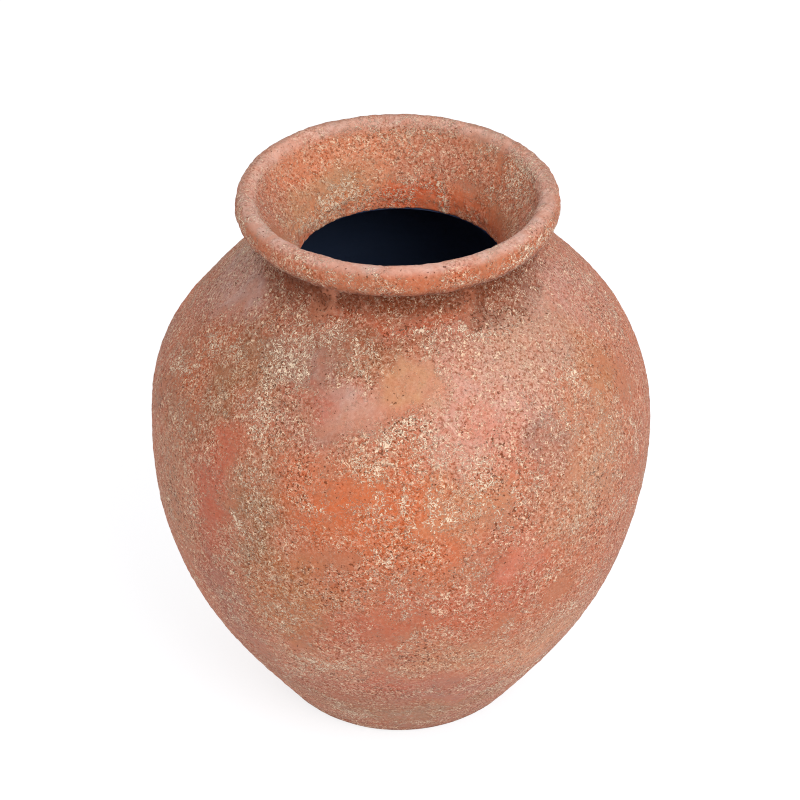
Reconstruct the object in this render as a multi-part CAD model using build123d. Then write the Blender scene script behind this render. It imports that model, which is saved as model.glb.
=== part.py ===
"""A handleless round-bellied terracotta jar with a flared mouth and a rolled rim.

A large jar is too tall to throw in one pull. The potter makes it in courses, scores
their edges, brushes the scored bands with wet clay slip and presses the courses
together before firing:

    foot_disc     flat slab that the jar stands on
    lower_bowl    wall from the slab up to the belly
    shoulder      wall from the belly in to the neck opening
    neck_collar   short waisted neck, with a funnel inside it that ends in the throat
    rim_roll      thick coil that finishes the lip
    *_slip        slip that fills the scored band in each joint
    interior_coat thin dark sealing coat that lines the inside, below the throat

All of it is round, so each piece is a slice of one cross-section, revolved about Z.
Units are millimetres. The origin is the centre of the underside, and +Z is up.
"""

import os

from build123d import *

# Driving dimensions. A place on the cross-section is (radius, height).
JAR_HEIGHT = 460.0
BELLY_RADIUS = 200.0
BELLY_HEIGHT = 234.0
FOOT_RADIUS = 106.5
HEEL_HEIGHT = 3.5  # the foot's lower edge is rounded over this height
WALL = 12.0
FLOOR = 14.0

# The outside between the heel and the neck is one curve through these places.
LOWER_WALL = [(133.0, 42.0), (172.0, 113.0)]
UPPER_WALL = [(191.0, 302.0), (163.0, 352.0)]
SHOULDER_TOP = (110.5, 406.5)
HEEL_SLOPE = (0.52, 0.85)
SHOULDER_SLOPE = (-1.0, 0.98)

# The neck and the rim.
NECK_RADIUS = 102.0
NECK_HEIGHT = 427.0  # where the neck is narrowest
ROLL_RADIUS = 113.8  # from the axis to the middle of the coil
ROLL_HALF_WIDTH = 8.4
ROLL_HALF_HEIGHT = 11.6
FUNNEL_START = 152.0  # degrees round the coil's section, where the funnel leaves it
THROAT_RADIUS = 79.0
THROAT_EDGE = 395.0
THROAT_LAND = 8.0  # height of the straight wall in the throat

# The joints. Each is a cone through (radius, height), rising by slope towards the axis.
FOOT_JOINT = (100.0, FLOOR, 0.0)
BELLY_JOINT = (194.0, 229.0, 0.6)
NECK_JOINT = (105.5, 401.5, -1.0)
RIM_JOINT = (101.0, 436.5, 0.7)
SLIP_THICKNESS = 1.6
SLIP_MARGIN = 0.27  # share of the wall left in bare contact on each side of the slip

COAT = 1.2
COAT_SET_BACK = 1.5  # the coat starts this far outside the throat's edge

FAR = 600.0  # beyond the jar in any direction


def outer_wall():
    """The outside of the wall, from the heel up to the root of the neck."""
    heel = (FOOT_RADIUS + HEEL_HEIGHT * HEEL_SLOPE[0] / HEEL_SLOPE[1], HEEL_HEIGHT)
    places = [heel, *LOWER_WALL, (BELLY_RADIUS, BELLY_HEIGHT), *UPPER_WALL, SHOULDER_TOP]
    return Spline(places, tangents=[HEEL_SLOPE, SHOULDER_SLOPE])


def section(*edges):
    """The face inside a closed run of edges."""
    return make_face(Sketch() + [Wire(list(edges))])


def roll_arc(start, end):
    """Part of the coil's outline, between two angles in degrees from its outermost place."""
    centre = (ROLL_RADIUS, JAR_HEIGHT - ROLL_HALF_HEIGHT)
    return EllipticalCenterArc(
        centre,
        ROLL_HALF_WIDTH,
        ROLL_HALF_HEIGHT,
        start_angle=start,
        arc_size=end - start,
    )


def envelope():
    """The jar's outside, filled in to the axis."""
    wall = outer_wall()
    flat_radius = FOOT_RADIUS - HEEL_HEIGHT
    waist = (NECK_RADIUS, NECK_HEIGHT)
    crest = roll_arc(-90, 90)
    return section(
        Line((0, 0), (flat_radius, 0)),
        Spline([(flat_radius, 0), wall @ 0], tangents=[(1, 0), HEEL_SLOPE]),
        wall,
        Spline([wall @ 1, waist], tangents=[SHOULDER_SLOPE, (0, 1)]),
        Spline([waist, crest @ 0], tangents=[(0, 1), (1, 0)]),
        crest,
        Line(crest @ 1, (0, JAR_HEIGHT)),
        Line((0, JAR_HEIGHT), (0, 0)),
    )


def mouth():
    """The open funnel inside the neck, down to the throat's edge."""
    lip = roll_arc(90, FUNNEL_START)
    throat_top = (THROAT_RADIUS, THROAT_EDGE + THROAT_LAND)
    return section(
        Line((0, JAR_HEIGHT), lip @ 0),
        lip,
        Spline([lip @ 1, throat_top], tangents=[lip % 1, (0, -1)]),
        Line(throat_top, (THROAT_RADIUS, THROAT_EDGE)),
        Line((THROAT_RADIUS, THROAT_EDGE), (0, THROAT_EDGE)),
        Line((0, THROAT_EDGE), (0, JAR_HEIGHT)),
    )


def cavity(depth):
    """The hollow below the throat. Its wall lies depth inside the jar's outside, and its floor
    and its top are moved in by whatever depth is more than WALL."""
    wall = outer_wall()
    extra = depth - WALL
    stations = [0.0, 0.15, 0.3, 0.45, 0.6, 0.75, 0.9]
    inner = []
    for station in stations:
        along = wall % station
        inner.append(wall @ station + Vector(-along.Y, along.X) * depth)
    edge = (THROAT_RADIUS, THROAT_EDGE - extra)
    whole = section(
        Line((0, inner[0].Y), inner[0]),
        Spline([*inner, edge], tangents=[wall % 0, (-1, 0)]),
        Line(edge, (0, edge[1])),
        Line((0, edge[1]), (0, inner[0].Y)),
    )
    return whole & above((0, FLOOR + extra, 0.0))


def above(joint, lift=0.0):
    """Everything above a joint's cone, as a large face. The cone can be lifted."""
    radius, height, slope = joint
    at_axis = height + radius * slope + lift
    at_rim = height - (FAR - radius) * slope + lift
    return section(
        Line((0, at_axis), (FAR, at_rim)),
        Line((FAR, at_rim), (FAR, at_rim + 2 * FAR)),
        Line((FAR, at_rim + 2 * FAR), (0, at_axis + 2 * FAR)),
        Line((0, at_axis + 2 * FAR), (0, at_axis)),
    )


def slip_band(clay, joint):
    """The slip in a joint: a thin band along the cone, in the middle of the upper piece's edge."""
    half = SLIP_THICKNESS / 2
    edge = ((clay & above(joint)) - above(joint, half)).bounding_box()
    width = (edge.max.X - edge.min.X) * (1 - 2 * SLIP_MARGIN)
    middle = (edge.max.X + edge.min.X) / 2
    layer = (clay & above(joint, -half)) - above(joint, half)
    return layer & Pos(middle, joint[1]) * Rectangle(width, FAR)


def revolved(face):
    """A cross-section turned a full circle about the jar's axis."""
    return revolve(Plane.XZ * face, axis=Axis.Z, revolution_arc=360)


def courses(clay):
    """The clay cut into its thrown pieces, and the slip that joins them, as cross-sections."""
    joints = {
        "foot_slip": FOOT_JOINT,
        "belly_slip": BELLY_JOINT,
        "neck_slip": NECK_JOINT,
        "rim_slip": RIM_JOINT,
    }
    slips = {name: slip_band(clay, joint) for name, joint in joints.items()}
    names = ["foot_disc", "lower_bowl", "shoulder", "neck_collar", "rim_roll"]
    cuts = list(joints.values())
    pieces = {}
    for index, name in enumerate(names):
        piece = clay
        if index > 0:
            piece = piece & above(cuts[index - 1])
        if index < len(cuts):
            piece = piece - above(cuts[index])
        for slip in slips.values():
            piece = piece - slip
        pieces[name] = piece
    return pieces | slips


def interior_coat():
    """The sealing coat: a skin on the hollow's wall and floor, open at the throat."""
    open_throat = Pos(0, THROAT_EDGE) * Rectangle(2 * (THROAT_RADIUS + COAT_SET_BACK), 4 * COAT)
    return cavity(WALL) - cavity(WALL + COAT) - open_throat


def main():
    os.makedirs("parts", exist_ok=True)
    clay = envelope() - mouth() - cavity(WALL)
    faces = courses(clay) | {"interior_coat": interior_coat()}
    for name, face in faces.items():
        export_step(revolved(face), f"parts/{name}.step")


main()
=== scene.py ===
"""Terracotta jar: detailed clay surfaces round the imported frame, with studio light and a camera.

The jar is one cross-section swept about Z. The outside of that section is walked from the
underside, up the wall, over the rolled rim and down the funnel to the throat. Every row of
vertices on it is made once, with its hand-made wobble and grit, and is then shared out to the
pieces, so neighbouring pieces meet exactly at their joints.
"""

import math

import bpy
import numpy as np
from mathutils import Matrix, Vector


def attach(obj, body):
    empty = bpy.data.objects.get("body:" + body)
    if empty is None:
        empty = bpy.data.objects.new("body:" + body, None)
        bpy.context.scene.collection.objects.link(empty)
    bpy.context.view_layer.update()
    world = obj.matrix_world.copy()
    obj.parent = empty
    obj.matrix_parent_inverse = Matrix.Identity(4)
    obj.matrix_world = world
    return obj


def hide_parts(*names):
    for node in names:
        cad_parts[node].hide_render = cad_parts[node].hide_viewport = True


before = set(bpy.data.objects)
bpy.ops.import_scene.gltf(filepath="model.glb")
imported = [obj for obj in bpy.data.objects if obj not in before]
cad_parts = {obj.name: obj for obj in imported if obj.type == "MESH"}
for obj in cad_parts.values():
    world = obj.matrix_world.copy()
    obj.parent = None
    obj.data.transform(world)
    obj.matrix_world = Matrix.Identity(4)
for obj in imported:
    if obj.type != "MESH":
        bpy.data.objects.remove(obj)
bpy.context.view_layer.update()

MM = 0.001

# ---------------------------------------------------------------- the cross-section, in mm
FOOT_RADIUS, HEEL_HEIGHT = 106.5, 3.5
WALL_PLACES = [(133.0, 42.0), (172.0, 113.0), (200.0, 234.0), (191.0, 302.0), (163.0, 352.0)]
SHOULDER_TOP = (110.5, 406.5)
HEEL_SLOPE, SHOULDER_SLOPE = (0.52, 0.85), (-1.0, 0.98)
WAIST = (102.0, 427.0)
ROLL_CENTRE, ROLL_HALF = (113.8, 448.4), (8.4, 11.6)
FUNNEL_START = 152.0
THROAT_RADIUS, THROAT_EDGE, THROAT_LAND = 79.0, 395.0, 8.0
THROAT_ROUND = 1.2
WALL, FLOOR = 12.0, 14.0
FOOT_JOINT = (100.0, FLOOR, 0.0)
BELLY_JOINT = (194.0, 229.0, 0.6)
NECK_JOINT = (105.5, 401.5, -1.0)
RIM_JOINT = (101.0, 436.5, 0.7)

COLUMNS = 640  # vertices round the jar


def spline(places, start, end, step=0.1):
    """Points along a smooth curve through the places, with set directions at its ends."""
    p = np.array(places, float)
    h = np.hypot(*np.diff(p, axis=0).T)
    n = len(p)
    a, b = np.zeros((n, n)), np.zeros((n, 2))
    a[0, 0] = a[-1, -1] = 1
    b[0] = np.array(start) / np.hypot(*start)
    b[-1] = np.array(end) / np.hypot(*end)
    for i in range(1, n - 1):
        a[i, i - 1 : i + 2] = h[i], 2 * (h[i - 1] + h[i]), h[i - 1]
        b[i] = 3 * (h[i] * (p[i] - p[i - 1]) / h[i - 1] + h[i - 1] * (p[i + 1] - p[i]) / h[i])
    slope = np.linalg.solve(a, b)
    out = []
    for i in range(n - 1):
        t = np.linspace(0, 1, max(2, int(h[i] / step)), endpoint=False)[:, None]
        out.append(
            (2 * t**3 - 3 * t**2 + 1) * p[i]
            + (t**3 - 2 * t**2 + t) * h[i] * slope[i]
            + (3 * t**2 - 2 * t**3) * p[i + 1]
            + (t**3 - t**2) * h[i] * slope[i + 1]
        )
    return np.vstack([*out, p[-1:]])


def arc(centre, half, start, end, step=0.1):
    """Points along part of an ellipse, between two angles in degrees."""
    angles = np.radians(np.linspace(start, end, int(abs(end - start) * max(half) / 57 / step) + 2))
    return np.array(centre) + np.stack([half[0] * np.cos(angles), half[1] * np.sin(angles)], -1)


def straight(a, b, step=0.1):
    """Points along a straight line."""
    count = int(math.dist(a, b) / step) + 2
    return np.linspace(a, b, count)


def unit(v):
    return v / np.linalg.norm(v)


wall_start = (FOOT_RADIUS + HEEL_HEIGHT * HEEL_SLOPE[0] / HEEL_SLOPE[1], HEEL_HEIGHT)
flat_edge = (FOOT_RADIUS - HEEL_HEIGHT, 0.0)
wall_curve = spline([wall_start, *WALL_PLACES, SHOULDER_TOP], HEEL_SLOPE, SHOULDER_SLOPE)
roll_outside = arc(ROLL_CENTRE, ROLL_HALF, -90, FUNNEL_START)
lip_end, lip_way = roll_outside[-1], unit(roll_outside[-1] - roll_outside[-2])
throat_top = (THROAT_RADIUS, THROAT_EDGE + THROAT_LAND)
edge_centre = (THROAT_RADIUS + THROAT_ROUND, THROAT_EDGE + THROAT_ROUND)

path = np.vstack([
    spline([flat_edge, wall_start], (1, 0), HEEL_SLOPE)[:-1],
    wall_curve[:-1],
    spline([wall_curve[-1], WAIST], SHOULDER_SLOPE, (0, 1))[:-1],
    spline([WAIST, roll_outside[0]], (0, 1), (1, 0))[:-1],
    roll_outside[:-1],
    spline([lip_end, throat_top], lip_way, (0, -1))[:-1],
    straight(throat_top, (THROAT_RADIUS, edge_centre[1]))[:-1],
    arc(edge_centre, (THROAT_ROUND, THROAT_ROUND), 180, 270),
])
along = np.r_[0, np.cumsum(np.hypot(*np.diff(path, axis=0).T))]


def cone(points, joint):
    """How far each (radius, height) point is above a joint's cone."""
    radius, height, slope = joint
    return points[:, 1] - (height + (radius - points[:, 0]) * slope)


def crossings(joint):
    """The places along the path where it passes through a joint's cone."""
    above = cone(path, joint)
    return [along[i] for i in np.nonzero(above[:-1] * above[1:] <= 0)[0]]


crest = along[np.argmax(path[:, 1])]
at_foot = [s for s in crossings(FOOT_JOINT) if s < 100][0]
at_belly = crossings(BELLY_JOINT)[0]
at_neck = [s for s in crossings(NECK_JOINT) if s > at_belly][0]
at_rim_out, at_rim_in = crossings(RIM_JOINT)[-2:]
at_throat = along[-1]


def on_path(s):
    """The (radius, height) at places along the path, and the outward direction there."""
    s = np.asarray(s, float)
    point = np.stack([np.interp(s, along, path[:, k]) for k in (0, 1)], -1)
    before, after = (
        np.stack([np.interp(s + d, along, path[:, k]) for k in (0, 1)], -1) for d in (-0.4, 0.4)
    )
    way = after - before
    way /= np.linalg.norm(way, axis=1, keepdims=True)
    return point, np.stack([way[:, 1], -way[:, 0]], -1)


def rows(start, end, step):
    """Evenly spaced places along the path, both ends included."""
    return np.linspace(start, end, max(2, round((end - start) / step) + 1))


# Row spacings in mm: the wall, and the smaller forms of the foot, the neck and the rim.
WALL_ROWS, FOOT_ROWS, FINE_ROWS = 1.9, 1.3, 0.95
SPANS = {
    "foot": rows(0, at_foot, FOOT_ROWS),
    "bowl": rows(at_foot, at_belly, WALL_ROWS),
    "shoulder": rows(at_belly, at_neck, WALL_ROWS),
    "neck_out": rows(at_neck, at_rim_out, FINE_ROWS),
    "rim": rows(at_rim_out, at_rim_in, FINE_ROWS),
    "neck_in": rows(at_rim_in, at_throat, FINE_ROWS),
}
stations = np.concatenate([SPANS["foot"], *[SPANS[k][1:] for k in list(SPANS)[1:]]])
section, outward = on_path(stations)

# ---------------------------------------------------------------- smooth noise
shuffle = np.random.default_rng(11)
TURN = shuffle.permutation(256)
GRADIENT = shuffle.normal(size=(256, 3))
GRADIENT = (GRADIENT / np.linalg.norm(GRADIENT, axis=1, keepdims=True)).astype(np.float32)


def noise(places, size, seed=0):
    """Smooth noise from about -1 to 1, with bumps about size mm across."""
    q = places / size + seed * 31.7
    cell = np.floor(q).astype(np.int64)
    f = (q - cell).astype(np.float32)
    w = f * f * f * (f * (f * 6 - 15) + 10)
    total = np.zeros(len(q), np.float32)
    for corner in np.ndindex(2, 2, 2):
        h = TURN[(cell[:, 0] + corner[0]) & 255]
        h = TURN[(h + cell[:, 1] + corner[1]) & 255]
        h = TURN[(h + cell[:, 2] + corner[2]) & 255]
        weight = np.prod(np.where(corner, w, 1 - w), axis=1)
        total += weight * np.einsum("ij,ij->i", GRADIENT[h], f - np.array(corner, np.float32))
    return total * 1.7


def layered(places, size, octaves, seed=0, keep=0.5):
    """Noise with finer and fainter noise on top."""
    return sum(noise(places, size / 2**k, seed + k) * keep**k for k in range(octaves))


def step(low, high, x):
    """0 below low and 1 above high, with a smooth turn between."""
    t = np.clip((x - low) / (high - low), 0, 1)
    return t * t * (3 - 2 * t)


def between(low, full, still_full, high, x):
    """1 from full to still_full, with smooth falls to 0 at low and at high."""
    return step(low, full, x) * (1 - step(still_full, high, x))


# ---------------------------------------------------------------- the whole outside, row by row
turn = np.arange(COLUMNS) * 2 * math.pi / COLUMNS  # azimuth 0 is -Y, and it grows towards +X
ring = np.stack([np.sin(turn), -np.cos(turn)], -1)


def swept(points):
    """Rows of (radius, height) turned about Z: an array of rows x columns x 3."""
    points = np.asarray(points, float)
    out = np.empty((len(points), COLUMNS, 3))
    out[..., :2] = points[:, None, :1] * ring[None]
    out[..., 2] = points[:, None, 1]
    return out


base = swept(section).reshape(-1, 3)
normal = swept(outward).reshape(-1, 3)
station = np.repeat(stations, COLUMNS)
azimuth = np.tile(np.degrees(turn), len(stations))
azimuth[azimuth > 180] -= 360

# Broken edges for the marks: the place where a mark is looked up is nudged by noise, in mm.
COARSE_NUDGE, FINE_NUDGE = 13, 3.5
nudged = base + np.stack(
    [
        layered(base, 36, 3, seed) * COARSE_NUDGE + noise(base, 6, seed + 5) * FINE_NUDGE
        for seed in (21, 22, 23)
    ],
    -1,
)


def place(where, height):
    """The place along the path at a height on the outside wall or in the mouth, or at a distance
    from the rim's crest on the roll, where a negative one is on the outside."""
    if where == "roll":
        return crest + height
    heights, side = path[:, 1], along < crest
    if where == "mouth":
        side = ~side
    return along[side][np.argmin(np.abs(heights[side] - height))]


def mark(where, around, height, half_width, half_height, lean=0.0, soft=0.6):
    """1 inside an oval on the surface, and 0 outside its soft edge. Degrees and mm."""
    s = place(where, height)
    (middle,), (out,) = on_path([s])
    a = math.radians(around)
    ring_way = np.array([math.cos(a), math.sin(a), 0])
    radial = np.array([math.sin(a), -math.cos(a), 0])
    centre = radial * middle[0] + np.array([0, 0, middle[1]])
    face = radial * out[0] + np.array([0, 0, out[1]])
    up_way = np.cross(face, -ring_way)
    offset = nudged - centre
    x, y, depth = offset @ ring_way, offset @ up_way, offset @ face
    c, t = math.cos(math.radians(lean)), math.sin(math.radians(lean))
    far = np.sqrt(
        ((c * x + t * y) / half_width) ** 2
        + ((c * y - t * x) / half_height) ** 2
        + (depth / (0.8 * max(half_width, half_height) + 15)) ** 2
    )
    return 1 - step(1 - soft, 1 + soft, far)


def linear(r, g, b):
    """A colour given in 0 to 255 screen values, as linear light."""
    c = np.array([r, g, b]) / 255
    return np.where(c <= 0.04045, c / 12.92, ((c + 0.055) / 1.055) ** 2.4)


TONES = {
    "salmon": linear(193, 125, 100),
    "orange": linear(205, 112, 70),
    "pink": linear(206, 138, 120),
    "mauve": linear(172, 114, 100),
    "grey": linear(164, 124, 114),
    "tan": linear(198, 150, 116),
    "olive": linear(160, 118, 88),
    "red": linear(190, 100, 78),
    "brown": linear(150, 96, 72),
    "buff": linear(198, 150, 122),
    "ochre": linear(186, 124, 82),
    "rust": linear(180, 96, 64),
    "ember": linear(196, 118, 84),
    "blush": linear(226, 196, 188),
    "glow": linear(236, 160, 124),
    "sienna": linear(184, 108, 74),
    "lilac": linear(204, 178, 174),
    "rusty": linear(196, 84, 44),
}

# The tones were picked as they look under the lamps, so the clay itself is darker.
UNLIT = (0.81, 0.76, 0.72)
TONES = {name: colour * UNLIT for name, colour in TONES.items()}
# A dark brown for dirt, also used as painted shade under the roll and where the jar meets the
# floor.
TONES["dirt"] = linear(98, 44, 18)

# (where, azimuth, height, half width, half height, lean, tone, strength)
TONE_MARKS = [
    # Round the shoulder, from left to right.
    ("wall", -85, 385, 60, 40, 0, "mauve", 0.5),
    ("wall", -60, 350, 48, 60, 0, "brown", 0.6),
    ("wall", -50, 345, 18, 24, 20, "olive", 0.7),
    ("wall", -66, 352, 20, 30, 0, "orange", 0.5),
    ("wall", -45, 388, 36, 22, 0, "brown", 0.7),
    ("wall", -42, 368, 40, 22, 0, "olive", 0.75),
    ("wall", -26, 380, 34, 26, 0, "grey", 0.8),
    ("wall", -27, 368, 15, 9, 0, "red", 0.6),
    ("wall", -14, 364, 26, 18, 0, "blush", 0.35),
    ("wall", -22, 346, 26, 14, 0, "grey", 0.6),
    ("wall", -10, 392, 26, 12, 0, "olive", 0.5),
    ("wall", 4, 400, 40, 10, 0, "red", 0.45),
    ("wall", 22, 374, 62, 40, 0, "pink", 0.7),
    # The blush and lilac marks on the upper shoulder and its edges are painted sheen: a pale
    # pinkish-grey veil where the shoulders turn away.
    ("wall", 24, 366, 54, 42, 0, "blush", 0.4),
    ("wall", 14, 333, 30, 16, 0, "blush", 0.4),
    ("wall", 60, 385, 70, 36, 0, "lilac", 0.65),
    ("wall", -85, 396, 50, 26, 0, "lilac", 0.65),
    ("wall", 38, 396, 40, 14, 0, "grey", 0.5),
    ("wall", 2, 379, 24, 21, 0, "tan", 0.95),
    ("wall", 45, 385, 46, 30, 0, "buff", 0.6),
    ("wall", 62, 352, 26, 34, 0, "ochre", 0.7),
    ("wall", 85, 370, 50, 60, 0, "pink", 0.5),
    ("wall", 78, 330, 26, 50, 0, "salmon", 0.5),
    # The brown band just below the neck is partly dirt and partly the roll's painted shadow; the
    # two dark marks at 408 mm are dirt and painted shade under the roll.
    ("wall", -6, 396, 50, 11, 0, "brown", 0.65),
    ("wall", 0, 408, 60, 5, 0, "rusty", 0.4),
    ("wall", 48, 408, 44, 9, 0, "dirt", 0.6),
    ("wall", -50, 408, 44, 9, 0, "dirt", 0.5),
    # Round the belly.
    ("wall", 25, 338, 30, 24, 0, "pink", 0.7),
    ("wall", 37, 333, 20, 26, 10, "grey", 0.9),
    ("wall", 52, 320, 30, 44, 0, "buff", 0.5),
    ("wall", -9, 329, 20, 16, 0, "buff", 0.6),
    ("wall", -14, 297, 56, 32, 0, "orange", 0.85),
    ("wall", 2, 290, 44, 46, 0, "orange", 0.9),
    ("wall", 14, 300, 30, 22, 0, "tan", 0.5),
    ("wall", -33, 272, 22, 50, 0, "olive", 0.9),
    ("wall", -24, 226, 26, 30, 0, "ochre", 0.8),
    ("wall", -46, 275, 15, 70, 3, "red", 0.75),
    ("wall", -62, 262, 34, 60, 0, "buff", 0.45),
    ("wall", 24, 236, 26, 38, 0, "red", 0.6),
    ("wall", 43, 280, 34, 34, 0, "buff", 0.7),
    ("wall", 28, 252, 12, 24, 8, "pink", 0.5),
    ("wall", 52, 225, 34, 34, 0, "salmon", 0.7),
    ("wall", 8, 200, 50, 30, 0, "red", 0.45),
    # Down to the foot.
    ("wall", -28, 185, 34, 30, 0, "ochre", 0.6),
    ("wall", -10, 190, 26, 22, 0, "red", 0.5),
    ("wall", 12, 148, 44, 28, 0, "tan", 0.5),
    ("wall", -22, 132, 40, 22, 0, "buff", 0.5),
    ("wall", 10, 96, 40, 22, 0, "mauve", 0.7),
    ("wall", -6, 104, 26, 14, 0, "red", 0.5),
    ("wall", 0, 46, 90, 22, 0, "olive", 0.7),
    ("wall", -18, 76, 60, 24, 0, "brown", 0.5),
    ("wall", 40, 124, 50, 34, 0, "buff", 0.8),
    # The glow mark is painted light on the lower belly's side that faces the lamp.
    ("wall", 34, 120, 46, 20, 0, "glow", 0.35),
    ("wall", -46, 170, 24, 60, 0, "mauve", 0.75),
    ("wall", -44, 84, 30, 26, 0, "brown", 0.4),
    # Inside the mouth.
    ("mouth", 180, 440, 80, 18, 0, "salmon", 0.7),
    ("mouth", 225, 440, 40, 14, 0, "orange", 0.4),
    # The broad glow mark is painted light: it brightens the funnel wall against its own shade.
    ("mouth", 180, 425, 160, 40, 0, "glow", 0.68),
    ("mouth", 236, 412, 56, 18, 0, "tan", 1.0),
    ("mouth", 212, 405, 44, 12, 0, "tan", 1.0),
    ("mouth", 178, 405, 26, 12, 0, "rusty", 0.95),
    ("mouth", 150, 403, 30, 9, 0, "rusty", 0.6),
    ("mouth", 150, 432, 44, 22, 0, "mauve", 0.5),
    ("mouth", 122, 436, 30, 16, 0, "rust", 0.6),
    ("mouth", 130, 408, 44, 12, 0, "ember", 0.8),
]
# (where, azimuth, height, half width, half height, lean, strength)
LIME_MARKS = [
    ("wall", -30, 395, 30, 12, 0, 0.7),
    ("wall", -36, 378, 18, 26, 15, 0.75),
    ("wall", -37, 345, 16, 30, 5, 0.7),
    ("wall", -33, 300, 16, 46, 0, 0.5),
    ("wall", -34, 240, 22, 36, 0, 0.45),
    ("wall", -28, 185, 30, 26, 0, 0.6),
    ("wall", -20, 132, 36, 16, -15, 0.75),
    ("wall", -13, 390, 18, 14, 0, 0.6),
    ("wall", 9, 398, 5, 15, -40, 1.0),
    ("wall", 12, 383, 4, 13, 0, 0.9),
    ("wall", 25, 399, 26, 6, 0, 0.85),
    ("wall", 42, 396, 20, 8, 0, 0.6),
    ("wall", 0, 350, 34, 14, 0, 0.75),
    ("wall", -9, 331, 20, 14, 0, 0.85),
    ("wall", 18, 322, 9, 15, -25, 0.75),
    ("wall", 8, 338, 30, 18, 0, 0.6),
    ("wall", 45, 330, 14, 20, 0, 0.5),
    ("wall", 54, 300, 22, 40, 0, 0.5),
    ("wall", 42, 272, 28, 30, 0, 0.5),
    ("wall", 55, 240, 30, 20, 0, 0.6),
    ("wall", -60, 300, 26, 50, 0, 0.45),
    ("wall", -52, 250, 16, 26, 0, 0.5),
    ("wall", -3, 254, 9, 7, 0, 1.0),
    ("wall", -7, 268, 6, 5, 0, 0.9),
    ("wall", 0, 240, 40, 14, 0, 0.45),
    ("wall", 15, 250, 24, 16, 0, 0.5),
    ("wall", 28, 120, 50, 14, -20, 0.55),
    ("wall", 38, 74, 44, 13, -25, 0.75),
    ("wall", 8, 26, 30, 9, 0, 0.6),
    ("wall", -32, 108, 30, 14, -15, 0.6),
    ("wall", -42, 160, 20, 30, 0, 0.55),
    ("wall", 10, 60, 40, 12, 0, 0.4),
    ("roll", 112, 8, 26, 8, 0, 0.9),
    ("roll", 183, 10, 30, 8, 0, 0.6),
    ("roll", 55, -16, 50, 8, 0, 0.8),
    ("roll", -70, -12, 40, 8, 0, 0.7),
    ("roll", -10, -14, 60, 6, 0, 0.5),
    ("mouth", 224, 406, 60, 11, 0, 0.85),
    ("mouth", 192, 408, 24, 8, 0, 0.6),
    ("mouth", 160, 404, 26, 7, 0, 0.5),
    ("mouth", 112, 442, 22, 14, 0, 0.8),
    ("mouth", 180, 450, 60, 8, 0, 0.5),
]
SMOOTH_MARKS = [
    ("wall", 3, 379, 24, 20, 0, 0.85),
    ("wall", -13, 363, 22, 14, 0, 0.6),
    ("wall", -26, 370, 12, 7, 0, 0.5),
    ("wall", -45, 270, 12, 60, 3, 0.55),
    ("wall", 24, 368, 40, 16, 0, 0.35),
    ("wall", 27, 245, 13, 24, 8, 0.5),
    ("wall", -8, 205, 26, 20, 0, 0.5),
    ("wall", 6, 112, 40, 14, 0, 0.6),
    ("wall", -12, 300, 20, 12, 0, 0.4),
    ("wall", 62, 385, 50, 30, 0, 0.5),
    ("wall", -70, 390, 50, 24, 0, 0.4),
]
PIT_MARKS = [
    ("wall", -34, 350, 20, 50, 0, 0.6),
    ("wall", 0, 350, 30, 14, 0, 0.7),
    ("wall", -8, 335, 20, 10, 0, 0.6),
    ("wall", 22, 300, 30, 50, 0, 0.6),
    ("wall", -16, 228, 30, 26, 0, 0.6),
    ("wall", -33, 280, 18, 40, 0, 0.5),
    ("wall", 4, 158, 30, 10, 0, 0.8),
    ("wall", 48, 398, 26, 8, 0, 0.9),
    ("wall", -50, 398, 26, 8, 0, 0.8),
    ("wall", 38, 404, 24, 6, 0, 1.0),
]

broad, patchy, blotchy = noise(nudged, 120, 1), noise(nudged, 55, 2), noise(nudged, 24, 3)
tone = np.tile(TONES["salmon"], (len(base), 1))


def tint(name, amount):
    """Mixes a tone into the clay's colour."""
    global tone
    amount = np.clip(amount, 0, 1)[:, None]
    tone = tone * (1 - amount) + TONES[name] * amount


# Random blotches: faint where the marks below give the tones, and full on the far side.
far_side = step(60, 110, np.abs(azimuth))
free = 0.35 + 0.65 * far_side
tint("orange", 0.7 * free * step(0.05, 0.5, broad))
tint("mauve", 0.7 * free * step(0.1, 0.5, patchy))
tint("olive", 0.7 * free * step(0.1, 0.5, -patchy - 0.4 * blotchy))
tint("pink", 0.7 * free * step(0.1, 0.5, -broad + 0.4 * blotchy))
tint("red", 0.5 * free * step(0.2, 0.6, blotchy))
broken = 0.8 + 0.45 * noise(nudged, 11, 30)
for *oval, name, strength in TONE_MARKS:
    tint(name, strength * mark(*oval) * broken)

# Bands that run all the way round. Distances from the rim's crest are negative on the outside.
height = base[:, 2]
from_crest = station - crest
# The sienna band is painted shade on the lower outside of the rolled rim.
tint("sienna", 0.7 * between(-26, -20, -12, -7, from_crest) * broken)
# The blush band round the crest is a painted highlight on the top of the rolled rim.
tint("blush", 0.68 * between(-10, -3, 6, 16, from_crest) * broken)
# Under the roll the clay is darkened all round: dirt and painted shade in the crease below the rim.
crease = step(402, 420, height) * (1 - step(-27, -17, from_crest))  # under the roll
tint("dirt", 0.85 * crease * step(-1.3, -0.1, patchy + noise(nudged, 14, 10)))
# Low in the funnel the clay is tinted rust and made up to 35% lighter; the lightening is painted
# light against the funnel's own shade.
funnel_foot = step(at_throat - 34, at_throat - 8, station)
tint("rusty", 0.3 * funnel_foot)
tone = tone * (1 + 0.35 * funnel_foot[:, None])
# Darker towards the floor: painted shade where the jar meets the floor, brown up to 40 mm and
# darker still below 9 mm.
tint("brown", 0.6 * (1 - step(4, 40, height)))
tint("dirt", 0.7 * (1 - step(2, 9, height)))
# A painted dark outline along the rim's far edge, just outside the crest, on the back of the jar.
tint("brown", 0.5 * far_side * between(-12, -6, -1, 4, from_crest))

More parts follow.
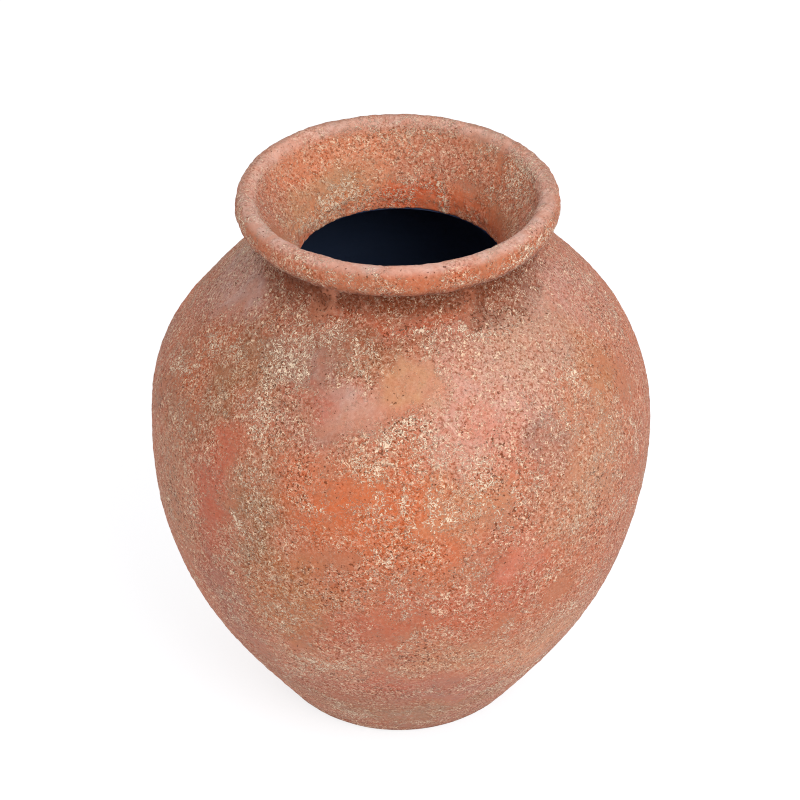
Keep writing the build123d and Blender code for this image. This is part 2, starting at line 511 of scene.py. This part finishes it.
# Wear, from 0 to about 1: how gritty the coat is, how limy, and how pitted.
gritty = 0.8 + 0.2 * step(25, 45, np.abs(azimuth))
gritty = np.clip(gritty + 0.9 * patchy + 0.9 * blotchy, 0.15, 1.2)
lime = np.clip(0.14 + 0.6 * noise(nudged, 48, 6) + 0.5 * noise(nudged, 18, 7), 0, 1)
pits = np.clip(0.25 + 0.4 * noise(nudged, 60, 8) + 0.3 * noise(nudged, 20, 9), 0, 1)
round_neck = between(at_neck - 26, at_neck, at_rim_out, at_rim_out + 8, station)
pits = np.maximum(pits, 0.7 * round_neck * step(0, 0.4, noise(nudged, 26, 24)))
for *oval, strength in LIME_MARKS:
    limed = strength * mark(*oval)
    lime = np.maximum(lime, limed)
    gritty = np.maximum(gritty, limed)
for *oval, strength in PIT_MARKS:
    pits = np.maximum(pits, strength * mark(*oval))
gritty, lime = gritty * (1 - 0.5 * crease), lime * (1 - 0.6 * crease)
gritty = gritty * (1 - 0.5 * between(-12, -4, 6, 14, from_crest))
pits = pits * (1 - 0.6 * step(-12, 2, from_crest))
lime = np.maximum(lime, (0.35 + 0.3 * blotchy) * between(-30, -24, -18, -12, from_crest))
pits = np.maximum(pits, 0.75 * crease)
for *oval, strength in SMOOTH_MARKS:
    rub = 1 - strength * mark(*oval)
    gritty, lime, pits = gritty * rub, lime * rub, pits * rub

# How the thrower's hands, the kiln and the coarse coat moved the surface, in mm.
LEAN = [(0, -1.6), (60, -1.3), (234, 0), (380, 1.3), (430, -0.2), (470, -1.2)]  # height, X
FULL_SIDE, FULLNESS = -95, 3.8  # one shoulder is fuller: its azimuth, and by how much
leaning = spline(LEAN, (1, 0), (1, 0))
lean = np.interp(height, leaning[:, 0], leaning[:, 1])
above_floor = step(0, 7, height)
out_of_true = 0.8 * noise(base, 150, 12) + 0.45 * noise(base, 60, 13)
toward = 0.5 * (1 + np.cos(np.radians(azimuth - FULL_SIDE)))
fuller = FULLNESS * step(0.15, 1, toward) * between(250, 315, 315, 352, height)
level = np.stack([0.12 * base[:, 0], 0.12 * base[:, 1], height], -1)  # noise drawn out sideways
thrown = 0.16 * noise(level, 9, 14) * (0.5 + gritty * 0.5)
near_rim = step(at_neck - 20, at_neck + 10, station)
lumps = (0.22 + 0.14 * near_rim) * noise(base, 13, 15)
grain = 0.34 * noise(base, 4.4, 16) + 0.24 * noise(base, 8, 17)
grain = grain * (0.3 + 0.7 * gritty) * (1 + 0.5 * near_rim)
scurf = 0.55 * lime * step(0.1, 0.5, noise(base, 5.2, 18))
dents = -0.6 * pits * step(0.35, 0.6, noise(base, 4.8, 19))
push = (out_of_true + fuller + thrown + lumps + grain + scurf + dents) * above_floor
skin = base + normal * push[:, None]
skin[:, 0] += lean
skin = skin.reshape(len(stations), COLUMNS, 3)
tone4 = np.concatenate([tone, np.ones((len(tone), 1))], 1).reshape(len(stations), COLUMNS, 4)
wear4 = np.stack([lime, pits, gritty, np.ones_like(lime)], -1).reshape(len(stations), COLUMNS, 4)


def taken(name):
    """The rows of one span of the outside: places, tones and wear."""
    span = SPANS[name]
    pick = (stations >= span[0] - 1e-6) & (stations <= span[-1] + 1e-6)
    return skin[pick], tone4[pick], wear4[pick]


# ---------------------------------------------------------------- the hidden faces
def inner_wall(depth):
    """The inside of the wall from the floor up to the throat's edge, depth mm in."""
    extra = depth - WALL
    s = np.linspace(6.5, at_neck - 30, 9)
    point, out = on_path(s)
    places = point - out * depth
    edge = (THROAT_RADIUS, THROAT_EDGE - extra)
    curve = spline([*places, edge], (out[0][1] * -1, out[0][0]), (-1, 0), 0.5)
    return curve[curve[:, 1] > FLOOR + extra]


def cut(curve, joint_low=None, joint_high=None):
    """The part of a curve between two joints' cones."""
    keep = np.ones(len(curve), bool)
    if joint_low:
        keep &= cone(curve, joint_low) > 0
    if joint_high:
        keep &= cone(curve, joint_high) < 0
    return curve[keep]


def thinned(curve, spacing):
    """A curve cut down to a few points, its ends included."""
    count = max(2, int(np.hypot(*np.diff(curve, axis=0).T).sum() / spacing) + 1)
    return curve[np.linspace(0, len(curve) - 1, count).astype(int)]


def joint_face(outside, inside, depth, side):
    """Points across the middle of a scored joint, with the groove that holds the slip. side is 1
    where the clay is above the joint and -1 where it is below. They start well inside the wall,
    so the joint never shows past clay that the noise has pushed in."""
    outside, inside = np.array(outside), np.array(inside)
    across = np.array([0.27, 0.29, 0.3, 0.7, 0.71, 0.73])
    lift = np.array([0, 0, 1, 1, 0, 0]) * depth * side
    points = outside + (inside - outside) * across[:, None]
    points[:, 1] += lift
    return points


GROOVE = 0.85
inside_clay = inner_wall(WALL - 0.15)


def joint_ends(s, joint):
    """A joint's outer and inner edge on the section, for the joints that cut the wall."""
    outer = on_path([s])[0][0]
    inner = inside_clay[np.argmin(np.abs(cone(inside_clay, joint)))]
    return outer, inner


def mesh_piece(name, bands, nodes, material, closed=True):
    """A piece made of rows of vertices. A band is (places, tone, wear), with places in mm."""
    places = np.vstack([b[0] for b in bands])
    tones = np.vstack([b[1] for b in bands])
    wears = np.vstack([b[2] for b in bands])
    count = len(places)
    i, j = np.meshgrid(np.arange(count if closed else count - 1), np.arange(COLUMNS), indexing="ij")
    up, right = (i + 1) % count, (j + 1) % COLUMNS
    quads = np.stack(
        [i * COLUMNS + j, i * COLUMNS + right, up * COLUMNS + right, up * COLUMNS + j], -1
    ).reshape(-1, 4)
    faces = quads.tolist()
    points = places.reshape(-1, 3)
    if not closed:
        bottom, top = len(points), len(points) + 1
        points = np.vstack([points, [0, 0, places[0, 0, 2]], [0, 0, places[-1, 0, 2]]])
        last = (count - 1) * COLUMNS
        for k in range(COLUMNS):
            n = (k + 1) % COLUMNS
            faces.append([bottom, n, k])
            faces.append([top, last + k, last + n])
    mesh = bpy.data.meshes.new(name)
    mesh.from_pydata((points * MM).tolist(), [], faces)
    for label, values in (("tone", tones), ("wear", wears)):
        flat = values.reshape(-1, 4)
        flat = np.vstack([flat, np.repeat(flat[:1], len(points) - len(flat), axis=0)])
        layer = mesh.attributes.new(label, "FLOAT_COLOR", "POINT")
        layer.data.foreach_set("color", flat.astype(np.float32).ravel())
    mesh.shade_smooth()
    mesh.set_sharp_from_angle(angle=math.radians(62))
    mesh.materials.append(material)
    piece = bpy.data.objects.new(name, mesh)
    bpy.context.scene.collection.objects.link(piece)
    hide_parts(*nodes)
    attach(piece, "root")
    return piece


def hidden(points):
    """A band of plain clay, for faces inside a joint or behind the coat."""
    places = swept(points)
    shape = places.shape[:2]
    tones = np.tile(np.r_[TONES["salmon"], 1], (*shape, 1))
    wears = np.tile([0.05, 0.1, 0.3, 1.0], (*shape, 1))
    return places, tones, wears


# ---------------------------------------------------------------- materials
class Shader:
    """A node material that is built up one call at a time."""

    def __init__(self, name):
        self.material = bpy.data.materials.new(name)
        self.material.use_nodes = True
        self.tree = self.material.node_tree
        self.surface = self.tree.nodes["Principled BSDF"]

    def add(self, kind, output=0, inputs=(), **settings):
        node = self.tree.nodes.new("ShaderNode" + kind)
        for key, value in settings.items():
            setattr(node, key, value)
        for key, value in dict(inputs).items():
            self.feed(node.inputs[key], value)
        return node.outputs[output]

    def feed(self, socket, value):
        if isinstance(value, bpy.types.NodeSocket):
            self.tree.links.new(value, socket)
        else:
            socket.default_value = value

    def math(self, operation, a, b=0.5, clamp=False):
        return self.add("Math", inputs={0: a, 1: b}, operation=operation, use_clamp=clamp)

    def band(self, value, low, high, to_low=0.0, to_high=1.0):
        """value mapped smoothly from low..high to to_low..to_high."""
        inputs = {"Value": value, 1: low, 2: high, 3: to_low, 4: to_high}
        return self.add("MapRange", inputs=inputs, interpolation_type="SMOOTHSTEP")

    def mix(self, factor, a, b, blend="MIX"):
        """Two colours mixed."""
        inputs = {0: factor, 6: a, 7: b}
        return self.add("Mix", 2, inputs, data_type="RGBA", blend_type=blend)

    def noise(self, where, scale, detail=2.0, roughness=0.5, distortion=0.0):
        inputs = {
            "Vector": where, "Scale": scale, "Detail": detail,
            "Roughness": roughness, "Distortion": distortion,
        }
        return self.add("TexNoise", 0, inputs)


# Clay colours, in linear light. The first three multiply or lie over the tone below them.
WARM_MOTTLE = (1.1, 0.92, 0.82, 1)
GRAIN_SHADE = (0.62, 0.37, 0.22, 1)
GRAIN_TOP = (0.86, 0.62, 0.47, 1)
PALE_THREAD = (0.88, 0.655, 0.45, 1)
DARK_GRAIN = (0.19, 0.036, 0.005, 1)
PIT_BROWN = (0.11, 0.02, 0.002, 1)
LIME_CREAM = (0.85, 0.67, 0.49, 1)


def fired_clay(name):
    """Gritty terracotta: grain, sand, lime flecks and pits over the painted tones."""
    s = Shader(name)
    where = s.add("TexCoord", 3)
    tone = s.add("Attribute", 0, attribute_name="tone")
    wear = s.add("Attribute", 0, attribute_name="wear")
    parts = s.tree.nodes.new("ShaderNodeSeparateColor")
    s.feed(parts.inputs[0], wear)
    lime, pits, gritty = parts.outputs

    mottle = s.noise(where, 75, 3)
    grain = s.noise(where, 400, 3, 0.65)
    warm = s.mix(s.band(mottle, 0.35, 0.68, 0, 0.5), tone, WARM_MOTTLE, "MULTIPLY")

    # The coarse sandy coat: uneven light and dark grain, and fine curly threads between.
    depth = s.band(gritty, 0.0, 1.0, 0.25, 1.0)
    low = s.math("MULTIPLY", s.band(grain, 0.52, 0.27, 0, 0.8), depth)
    top = s.math("MULTIPLY", s.band(grain, 0.5, 0.74, 0, 0.42), depth)
    colour = s.mix(low, warm, GRAIN_SHADE, "MULTIPLY")
    colour = s.mix(top, colour, GRAIN_TOP)

    def shifted(seed):
        """The place on the surface, moved so that each use of a noise has its own pattern."""
        return s.add("VectorMath", inputs={0: where, 1: (seed, seed * 1.7, seed * 0.6)})

    def threads(scale, thick, seed):
        """Curly lines: the places where a noise crosses its middle value."""
        curl = s.noise(shifted(seed), scale, 1, 0.5, 1.0)
        off = s.math("ABSOLUTE", s.math("SUBTRACT", curl, 0.5))
        return s.band(s.math("SUBTRACT", thick, off), -0.014, 0.014)

    def specks(scale, amount, seed):
        """Ragged spots, more of them as amount grows."""
        spot = s.noise(shifted(seed), scale, 1, 0.5)
        return s.band(s.math("ADD", spot, amount), 0.69, 0.75)

    pale = threads(330, s.band(gritty, 0, 1, 0.0, 0.04), 0.31)
    patch = s.noise(s.add("VectorMath", inputs={0: where, 1: (0.9, 0.4, 0.2)}), 190, 2, 0.6)
    pale = s.math("MULTIPLY", pale, s.band(patch, 0.4, 0.6, 0.2, 1.0))
    dark = specks(450, s.band(pits, 0, 1, -0.03, 0.13), 0.77)
    dark_grain = s.math("MULTIPLY", specks(520, 0.12, 0.53), s.band(gritty, 0.1, 0.9, 0.05, 0.58))

    # Lime left in the coat's hollows: broken curly threads, filled in where it is thick.
    thick = s.band(lime, 0.15, 1.0, 0.004, 0.056)
    breaks = s.math("ADD", s.noise(where, 130, 3, 0.65), s.math("MULTIPLY", lime, 0.2))
    limed = s.math("MULTIPLY", threads(300, thick, 0.13), s.band(breaks, 0.52, 0.64))
    limed = s.math("MULTIPLY", limed, s.band(lime, 0.02, 0.25))

    colour = s.mix(s.math("MULTIPLY", pale, 0.68), colour, PALE_THREAD)
    colour = s.mix(dark_grain, colour, DARK_GRAIN)
    colour = s.mix(s.math("MULTIPLY", dark, 0.75), colour, PIT_BROWN)
    colour = s.mix(s.math("MULTIPLY", limed, 0.78), colour, LIME_CREAM)

    # The same patterns as relief.
    high = s.math("MULTIPLY", grain, depth)
    high = s.math("ADD", high, s.math("MULTIPLY", pale, 0.25))
    high = s.math("ADD", high, s.math("MULTIPLY", limed, 0.4))
    high = s.math("SUBTRACT", high, s.math("MULTIPLY", dark, 0.25))
    bump = s.add("Bump", inputs={"Strength": 1.0, "Distance": 0.0014, "Height": high})

    s.feed(s.surface.inputs["Base Color"], colour)
    s.feed(s.surface.inputs["Roughness"], s.band(gritty, 0, 1, 0.6, 0.8))
    s.feed(s.surface.inputs["Normal"], bump)
    s.surface.inputs["Specular IOR Level"].default_value = 0.08
    s.surface.inputs["Sheen Weight"].default_value = 0.1
    s.surface.inputs["Sheen Roughness"].default_value = 0.28
    s.surface.inputs["Sheen Tint"].default_value = (0.95, 0.93, 1.0, 1)
    return s.material


def coat_and_painted_shade(name):
    """Dull blue-black coat, brushed on round the inside; its near-black colour is also painted
    shade deep in the jar.
    """
    s = Shader(name)
    where = s.add("TexCoord", 3)
    squash = s.add("VectorMath", inputs={0: where, 1: (1, 1, 9)}, operation="MULTIPLY")
    brush = s.noise(squash, 26, 4)
    colour = s.mix(brush, (0.034, 0.056, 0.115, 1), (0.046, 0.072, 0.14, 1))
    bump = s.add("Bump", inputs={"Strength": 0.5, "Distance": 0.0006, "Height": brush})
    s.feed(s.surface.inputs["Base Color"], colour)
    s.feed(s.surface.inputs["Roughness"], s.band(brush, 0.3, 0.7, 0.75, 0.95))
    s.feed(s.surface.inputs["Normal"], bump)
    s.surface.inputs["Specular IOR Level"].default_value = 0.15
    return s.material


def fired_slip(name):
    """Fine red clay that fills a joint."""
    s = Shader(name)
    where = s.add("TexCoord", 3)
    fleck = s.noise(where, 240, 3)
    colour = s.mix(fleck, (0.3, 0.1, 0.055, 1), (0.42, 0.17, 0.1, 1))
    bump = s.add("Bump", inputs={"Strength": 0.4, "Distance": 0.0004, "Height": fleck})
    s.feed(s.surface.inputs["Base Color"], colour)
    s.feed(s.surface.inputs["Roughness"], s.band(fleck, 0.3, 0.7, 0.7, 0.9))
    s.feed(s.surface.inputs["Normal"], bump)
    return s.material


clay = fired_clay("gritty_terracotta")

# ---------------------------------------------------------------- the pieces
foot_out, foot_in = joint_ends(at_foot, FOOT_JOINT)
belly_out, belly_in = joint_ends(at_belly, BELLY_JOINT)
neck_out, neck_in = joint_ends(at_neck, NECK_JOINT)
rim_out, rim_in = on_path([at_rim_out, at_rim_in])[0]

underside = straight((2.0, 0.0), flat_edge, 6.0)[:-1]
slab_top = straight((foot_in[0] - 2, FLOOR), (2.0, FLOOR), 6.0)
mesh_piece(
    "jar_foot",
    [
        hidden(underside),
        taken("foot"),
        hidden(joint_face(foot_out, foot_in, GROOVE, -1)),
        hidden(slab_top),
    ],
    ["foot_disc"], clay, closed=False,
)
mesh_piece(
    "jar_bowl",
    [
        taken("bowl"),
        hidden(joint_face(belly_out, belly_in, GROOVE, -1)),
        hidden(thinned(cut(inside_clay, FOOT_JOINT, BELLY_JOINT), 16)[::-1]),
        hidden(joint_face(foot_out, foot_in, GROOVE, 1)[::-1]),
    ],
    ["lower_bowl"], clay,
)
mesh_piece(
    "jar_shoulder",
    [
        taken("shoulder"),
        hidden(joint_face(neck_out, neck_in, GROOVE, -1)),
        hidden(thinned(cut(inside_clay, BELLY_JOINT, NECK_JOINT), 16)[::-1]),
        hidden(joint_face(belly_out, belly_in, GROOVE, 1)[::-1]),
    ],
    ["shoulder"], clay,
)
ceiling = inside_clay[(cone(inside_clay, NECK_JOINT) > 0) & (inside_clay[:, 0] > THROAT_RADIUS + 2)]
mesh_piece(
    "jar_neck",
    [
        taken("neck_out"),
        hidden(joint_face(rim_out, rim_in, GROOVE, -1)),
        taken("neck_in"),
        hidden(thinned(ceiling, 5)[::-1]),
        hidden(joint_face(neck_out, neck_in, GROOVE, 1)[::-1]),
    ],
    ["neck_collar"], clay,
)
mesh_piece(
    "jar_rim",
    [taken("rim"), hidden(joint_face(rim_out, rim_in, GROOVE, 1)[::-1])],
    ["rim_roll"], clay,
)

for node in ("foot_slip", "belly_slip", "neck_slip", "rim_slip"):
    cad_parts[node].data.materials.clear()
    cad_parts[node].data.materials.append(fired_slip("slip_" + node))
# The lining inside is near black: a coat, and painted shade deep in the jar.
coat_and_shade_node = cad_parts["interior_coat"]
coat_and_shade_node.data.materials.clear()
coat_and_shade_node.data.materials.append(coat_and_painted_shade("blue_black_coat_and_shade"))

# ---------------------------------------------------------------- floor, light and camera
scene = bpy.context.scene
WORLD_STRENGTH, FLOOR_GLOW = 0.88, 0.76
KEY_PLACE, KEY_TARGET, KEY_SIZE, KEY_POWER = (0.9, -1.5, 1.75), (0, 0, 0.3), 1.3, 32


def floor_sheet():
    """A wide pale floor."""
    steps = [-6.0, -3.0, -1.5, -0.5, 0.5, 1.5, 3.0, 6.0]
    points = [(x, y, 0.0) for y in steps for x in steps]
    n = len(steps)
    faces = [
        (r * n + c, r * n + c + 1, (r + 1) * n + c + 1, (r + 1) * n + c)
        for r in range(n - 1) for c in range(n - 1)
    ]
    mesh = bpy.data.meshes.new("floor")
    mesh.from_pydata(points, [], faces)
    s = Shader("pale_floor")
    where = s.add("TexCoord", 3)
    colour = s.mix(s.noise(where, 3, 3), (0.28, 0.29, 0.31, 1), (0.3, 0.305, 0.325, 1))
    s.feed(s.surface.inputs["Base Color"], colour)
    s.surface.inputs["Roughness"].default_value = 0.9
    s.surface.inputs["Specular IOR Level"].default_value = 0.1
    s.surface.inputs["Emission Color"].default_value = (1, 1, 1, 1)
    s.surface.inputs["Emission Strength"].default_value = FLOOR_GLOW
    mesh.materials.append(s.material)
    sheet = bpy.data.objects.new("floor", mesh)
    scene.collection.objects.link(sheet)


floor_sheet()

world = bpy.data.worlds.new("studio")
scene.world = world
world.use_nodes = True
world.node_tree.nodes["Background"].inputs["Color"].default_value = (1, 1, 1, 1)
world.node_tree.nodes["Background"].inputs["Strength"].default_value = WORLD_STRENGTH


def softbox(name, position, target, size, power):
    """A large soft white lamp that faces a target."""
    lamp = bpy.data.lights.new(name, "AREA")
    lamp.shape, lamp.size, lamp.energy = "DISK", size, power
    holder = bpy.data.objects.new(name, lamp)
    holder.location = position
    holder.rotation_mode = "QUATERNION"
    holder.rotation_quaternion = (Vector(target) - Vector(position)).to_track_quat("-Z", "Y")
    scene.collection.objects.link(holder)


softbox("key", KEY_PLACE, KEY_TARGET, KEY_SIZE, KEY_POWER)

CAMERA_DISTANCE = 1.7
CAMERA_TILT = math.radians(35.57)
CAMERA_AIM = 0.2635
CAMERA_ROLL = math.radians(0.42)
camera = bpy.data.cameras.new("camera")
camera.sensor_width, camera.lens = 36.0, 95.2
camera.clip_start, camera.clip_end = 0.05, 50
holder = bpy.data.objects.new("camera", camera)
aim = Vector((0, 0, CAMERA_AIM))
back = Vector((0, -math.cos(CAMERA_TILT), math.sin(CAMERA_TILT)))
holder.location = aim + back * CAMERA_DISTANCE
holder.rotation_mode = "QUATERNION"
facing = (-back).to_track_quat("-Z", "Y").to_matrix() @ Matrix.Rotation(-CAMERA_ROLL, 3, "Z")
holder.rotation_quaternion = facing.to_quaternion()
scene.collection.objects.link(holder)
scene.camera = holder
scene.view_settings.view_transform = "Standard"
scene.cycles.filter_width = 1.1
scene.cycles.denoising_prefilter = "NONE"
